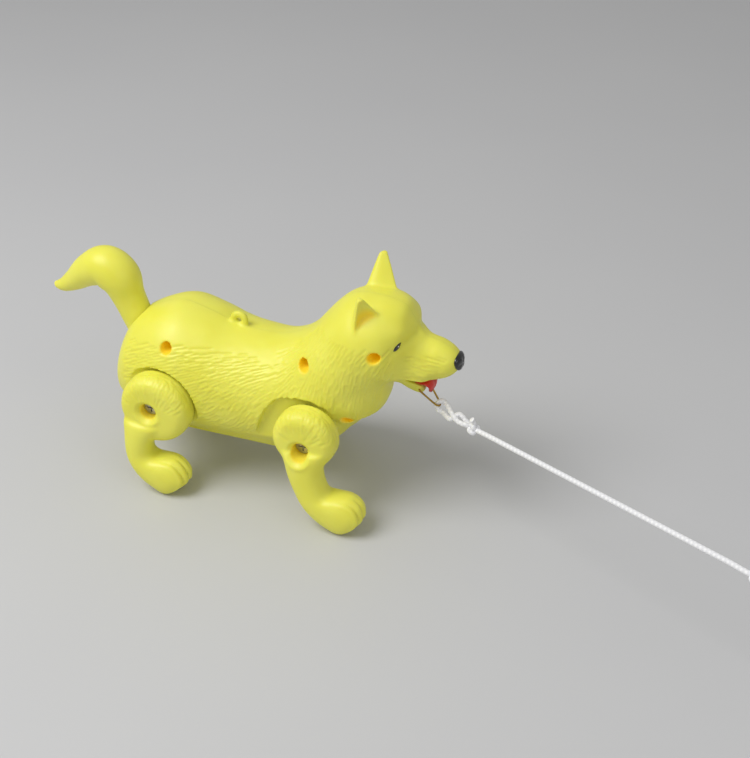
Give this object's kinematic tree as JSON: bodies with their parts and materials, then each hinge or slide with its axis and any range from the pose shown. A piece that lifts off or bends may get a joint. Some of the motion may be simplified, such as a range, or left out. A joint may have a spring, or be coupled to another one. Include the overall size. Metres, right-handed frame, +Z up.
{
  "type": "electric toy dog",
  "caption": "Yellow moulded toy dog in mid-stride with an upswept tail; a hidden motor and cranks swing its front legs, and a cord leash hangs from its jaw.",
  "frame": {"origin": "middle of the dog at floor level, leash left out", "axes": "+X towards the nose, +Y to the dog's left, +Z up"},
  "size_m": [0.4396, 0.1669, 0.1315],
  "materials": {
    "skin": "satin moulded lemon-yellow plastic, slightly translucent",
    "tongue_red": "glossy red",
    "screw_steel": "zinc-plated steel",
    "frame_plastic": "matt white plastic",
    "motor_metal": "drawn steel can",
    "black_plastic": "matt black plastic",
    "gear_plastic": "natural nylon",
    "cell_jacket": "plain printed jacket, unmarked",
    "wire_jacket": "soft red insulation",
    "cord": "braided white cord"
  },
  "bodies": {
    "frame": {"body_shell_right": "skin", "body_shell_left": "skin", "tail": "skin", "tongue": "tongue_red", "body_screws": "screw_steel", "leg_screws": "screw_steel", "gearbox_right": "frame_plastic", "gearbox_left": "frame_plastic", "gearbox_screws": "screw_steel", "gear_pins": "screw_steel", "motor_can": "motor_metal", "motor_endcap": "black_plastic", "battery_tray": "black_plastic", "battery_cover": "skin", "battery_cover_screw": "screw_steel", "battery_cells": "cell_jacket", "battery_contacts": "screw_steel", "switch_body": "black_plastic", "wires": "wire_jacket"},
    "motor": {"motor_shaft": "screw_steel", "motor_pinion": "gear_plastic"},
    "first_wheel": {"first_gear": "gear_plastic"},
    "second_wheel": {"second_gear": "gear_plastic"},
    "crank": {"crank_gear": "gear_plastic", "crank_shaft": "screw_steel", "crank_right": "gear_plastic", "crank_left": "gear_plastic"},
    "front_right": {"front_right_leg": "skin"},
    "front_left": {"front_left_leg": "skin"},
    "hind_right": {"hind_right_leg": "skin"},
    "hind_left": {"hind_left_leg": "skin"},
    "switch": {"switch_knob": "black_plastic"},
    "leash": {"leash_bail": "screw_steel", "leash_loop": "cord", "leash_knot": "cord", "leash_run": "cord", "hand_knot": "cord", "hand_loop": "cord"}
  },
  "joints": [
    {"name": "crank_spin", "type": "hinge", "parent": "frame", "child": "crank", "pos_m": [0.044, 0, 0.056], "axis": [0, 1, 0], "continuous": true},
    {"name": "second_gear_spin", "type": "hinge", "parent": "frame", "child": "second_wheel", "pos_m": [0.03069, 0, 0.05823], "axis": [0, 1, 0], "continuous": true},
    {"name": "first_gear_spin", "type": "hinge", "parent": "frame", "child": "first_wheel", "pos_m": [0.01836, 0, 0.06029], "axis": [0, 1, 0], "continuous": true},
    {"name": "motor_spin", "type": "hinge", "parent": "frame", "child": "motor", "pos_m": [0.008, 0, 0.06202], "axis": [0, 1, 0], "continuous": true},
    {"name": "front_right_swing", "type": "hinge", "parent": "frame", "child": "front_right", "pos_m": [0.044, 0, 0.045], "axis": [0, 1, 0], "range_deg": [0, 65.5]},
    {"name": "front_left_swing", "type": "hinge", "parent": "frame", "child": "front_left", "pos_m": [0.044, 0, 0.045], "axis": [0, 1, 0], "range_deg": [-65.5, 0]},
    {"name": "hind_right_swing", "type": "hinge", "parent": "frame", "child": "hind_right", "pos_m": [-0.042, 0, 0.049], "axis": [0, 1, 0], "range_deg": [-5, 19]},
    {"name": "hind_left_swing", "type": "hinge", "parent": "frame", "child": "hind_left", "pos_m": [-0.042, 0, 0.049], "axis": [0, 1, 0], "range_deg": [-23.5, 0.5]},
    {"name": "switch_slide", "type": "slide", "parent": "frame", "child": "switch", "axis": [1, 0, 0], "range_m": [0, 0.004]},
    {"name": "leash_bail_swing", "type": "hinge", "parent": "frame", "child": "leash", "pos_m": [0.094, 0, 0.0734], "axis": [0, 1, 0], "range_deg": [-15, 15]}
  ],
  "couplings": [
    {"joint": "second_gear_spin", "follows": "first_gear_spin", "ratio": -0.25},
    {"joint": "crank_spin", "follows": "first_gear_spin", "ratio": 0.056818},
    {"joint": "motor_spin", "follows": "first_gear_spin", "ratio": -4.25},
    {"joint": "front_left_swing", "follows": "front_right_swing", "ratio": -1}
  ]
}
